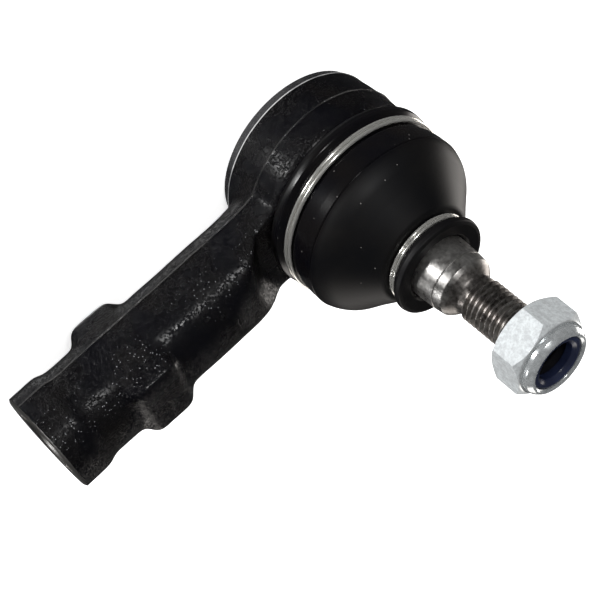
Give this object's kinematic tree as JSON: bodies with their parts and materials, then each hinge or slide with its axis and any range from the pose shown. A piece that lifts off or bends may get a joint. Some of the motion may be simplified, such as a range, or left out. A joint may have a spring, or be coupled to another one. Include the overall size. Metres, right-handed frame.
{
  "type": "tie rod end",
  "caption": "Outer tie rod end: forged black housing with female-threaded shank, rubber dust boot with wire clamps, tapered ball stud and nylon-insert lock nut.",
  "frame": {"origin": "centre of the ball, on the shank's axis", "axes": "+Z along the ball stud towards the nut, +X along the shank towards its threaded end, +Y completes a right-handed frame"},
  "size_m": [0.1007, 0.0422, 0.0785],
  "materials": {
    "painted_forging": "gloss",
    "stamped_steel": "satin",
    "spring_steel": "gloss",
    "bearing_plastic": "satin",
    "stud_steel": "satin",
    "boot_rubber": "satin",
    "clamp_wire": "gloss",
    "zinc_plate": "satin",
    "insert_nylon": "satin"
  },
  "bodies": {
    "head": {"housing": "painted_forging", "cover_plate": "stamped_steel", "preload_spring": "spring_steel", "upper_bearing": "bearing_plastic", "boot_clamp_large": "clamp_wire"},
    "heading": {"lower_bearing": "bearing_plastic", "dust_boot": "boot_rubber"},
    "swinging_collar": {"boot_clamp_small": "clamp_wire"},
    "stud": {"ball_stud": "stud_steel"},
    "nut_carrier": {"nut_insert": "insert_nylon"},
    "nut": {"nut_body": "zinc_plate"}
  },
  "joints": [
    {"name": "swing_heading", "type": "hinge", "parent": "head", "child": "heading", "pos_m": [0, 0, 0], "axis": [0, 0, 1], "continuous": true},
    {"name": "stud_swing", "type": "hinge", "parent": "heading", "child": "swinging_collar", "pos_m": [0, 0, 0], "axis": [0, 1, 0], "range_deg": [-25, 25], "deforming": ["dust_boot"]},
    {"name": "stud_spin", "type": "hinge", "parent": "swinging_collar", "child": "stud", "pos_m": [0, 0, 0], "axis": [0, 0, 1], "continuous": true},
    {"name": "nut_travel", "type": "slide", "parent": "stud", "child": "nut_carrier", "axis": [0, 0, 1], "range_m": [-0.0125, 0.005], "deforming": ["nut_insert"]},
    {"name": "nut_turn", "type": "hinge", "parent": "nut_carrier", "child": "nut", "pos_m": [0, 0, 0.0554], "axis": [0, 0, 1], "range_deg": [-3600, 1440]}
  ],
  "couplings": [
    {"joint": "nut_travel", "follows": "nut_turn", "m_per_rad": 0.00019894}
  ]
}
